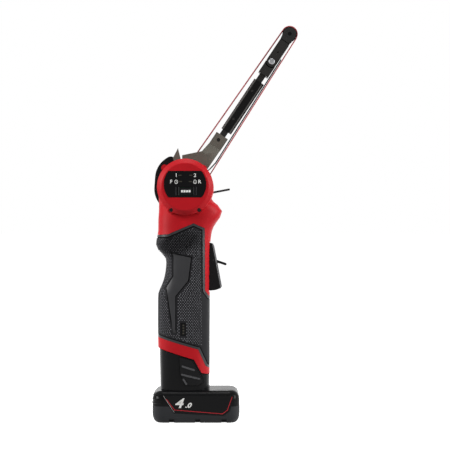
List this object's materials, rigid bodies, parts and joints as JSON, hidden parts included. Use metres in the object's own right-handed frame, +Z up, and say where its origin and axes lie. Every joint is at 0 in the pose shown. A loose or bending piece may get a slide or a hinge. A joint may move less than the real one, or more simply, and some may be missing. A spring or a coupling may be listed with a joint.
{
  "type": "power file",
  "caption": "Cordless power file with an upright rubber grip, round head with a control panel, swinging belt arm with a sprung tip, paddle trigger and slide-in battery foot.",
  "frame": {"origin": "on the standing surface, straight below the drive axis, in the middle plane of the grip", "axes": "+X towards the trigger side, +Y towards the belt side, +Z up"},
  "size_m": [0.1512, 0.0917, 0.4104],
  "materials": {
    "red_plastic": "satin moulded",
    "grip_rubber": "textured overmould",
    "black_plastic": "satin moulded",
    "gloss_black": "gloss moulded",
    "tray_plastic": "fine matte",
    "lamp_lens": "clear lens",
    "circuit_board": "solder resist",
    "motor_iron": "varnished laminations",
    "bearing_steel": "ground",
    "cast_aluminium": "as cast",
    "bright_steel": "zinc plated",
    "bracket_steel": "grey brown stamped",
    "blackened_steel": "black oxide",
    "spring_steel": "blued",
    "abrasive_cloth": "resin bonded grit",
    "lead_insulation": "soft insulation",
    "cell_jacket": "shrink sleeve",
    "contact_brass": "plated"
  },
  "bodies": {
    "housing": {"housing_right": "red_plastic", "housing_left": "red_plastic", "grip_right": "grip_rubber", "grip_left": "grip_rubber", "motor_cap": "red_plastic", "cap_screws": "blackened_steel", "control_panel": "gloss_black", "indicator_lenses": "lamp_lens", "panel_board": "circuit_board", "motor_stator": "motor_iron", "rear_bearing": "bearing_steel", "front_bearing": "bearing_steel", "front_plate": "cast_aluminium", "arm_retaining_ring": "bright_steel", "retaining_screws": "bright_steel", "control_module": "black_plastic", "trigger_switch": "black_plastic", "terminal_block": "black_plastic", "power_leads": "lead_insulation", "trigger_pin": "blackened_steel", "housing_screws": "blackened_steel", "fuel_gauge": "gloss_black"},
    "rotor": {"motor_rotor": "motor_iron", "motor_shaft": "bright_steel", "cooling_fan": "black_plastic", "drive_pulley": "cast_aluminium", "pulley_nut": "bright_steel"},
    "arm": {"arm_bracket": "bracket_steel", "arm_rail": "blackened_steel", "arm_channel": "blackened_steel", "channel_rivets": "blackened_steel", "tension_spring": "spring_steel", "platen": "spring_steel", "sanding_belt": "abrasive_cloth", "belt_guard": "black_plastic", "guard_screws": "bright_steel", "spark_deflector": "grip_rubber"},
    "cover": {"belt_cover": "black_plastic", "cover_thumbscrew": "black_plastic"},
    "tip": {"tip_rod": "blackened_steel", "tip_socket": "blackened_steel", "tip_fork": "blackened_steel", "tip_screw": "bright_steel", "idler_axle": "blackened_steel"},
    "idler": {"idler_pulley": "black_plastic"},
    "trigger": {"trigger": "black_plastic", "lock_lever_pin": "bright_steel"},
    "lock_lever": {"lock_lever": "black_plastic"},
    "plunger": {"switch_plunger": "black_plastic"},
    "mode_button": {"mode_button": "black_plastic"},
    "battery": {"battery_base": "tray_plastic", "battery_case": "gloss_black", "battery_cells": "cell_jacket", "battery_contacts": "contact_brass", "battery_screws": "blackened_steel"},
    "latch_right": {"latch_right": "black_plastic"},
    "latch_left": {"latch_left": "black_plastic"}
  },
  "joints": [
    {"name": "rotor_spin", "type": "hinge", "parent": "housing", "child": "rotor", "pos_m": [0, 0, 0.239], "axis": [0, 1, 0], "continuous": true},
    {"name": "arm_swing", "type": "hinge", "parent": "housing", "child": "arm", "pos_m": [0, 0.0258, 0.239], "axis": [0, 1, 0], "range_deg": [-33, 56]},
    {"name": "cover_lift", "type": "slide", "parent": "arm", "child": "cover", "axis": [0, 1, 0], "range_m": [0, 0.025]},
    {"name": "tip_slide", "type": "slide", "parent": "arm", "child": "tip", "axis": [0.5541, 0, 0.8324], "range_m": [-0.0075, 0], "stiffness_N_per_m": 1200, "springref_m": 0.012, "deforming": ["tension_spring"]},
    {"name": "idler_spin", "type": "hinge", "parent": "tip", "child": "idler", "pos_m": [0.10839, 0.042, 0.40184], "axis": [0, 1, 0], "continuous": true},
    {"name": "trigger_pull", "type": "hinge", "parent": "housing", "child": "trigger", "pos_m": [0.018, 0, 0.178], "axis": [0, 1, 0], "range_deg": [0, 9], "stiffness_Nm_per_rad": 0.6, "springref_deg": -8.59},
    {"name": "lock_lever_turn", "type": "hinge", "parent": "trigger", "child": "lock_lever", "pos_m": [0.0284, 0, 0.1644], "axis": [0, 1, 0], "range_deg": [0, 35], "stiffness_Nm_per_rad": 0.02, "springref_deg": -14.32},
    {"name": "plunger_slide", "type": "slide", "parent": "housing", "child": "plunger", "axis": [1, 0, 0], "range_m": [-0.0046, 0]},
    {"name": "mode_press", "type": "slide", "parent": "housing", "child": "mode_button", "axis": [0, 1, 0], "range_m": [0, 0.0006], "stiffness_N_per_m": 900, "springref_m": -0.0008},
    {"name": "battery_slide", "type": "slide", "parent": "housing", "child": "battery", "axis": [0, 0, -1], "range_m": [0, 0.08]},
    {"name": "latch_right_press", "type": "slide", "parent": "battery", "child": "latch_right", "axis": [0, 1, 0], "range_m": [0, 0.0011], "stiffness_N_per_m": 3000, "springref_m": -0.0012},
    {"name": "latch_left_press", "type": "slide", "parent": "battery", "child": "latch_left", "axis": [0, -1, 0], "range_m": [0, 0.0011], "stiffness_N_per_m": 3000, "springref_m": -0.0012}
  ],
  "couplings": [
    {"joint": "idler_spin", "follows": "rotor_spin", "ratio": 1.5644},
    {"joint": "plunger_slide", "follows": "trigger_pull", "m_per_rad": -0.0275}
  ]
}
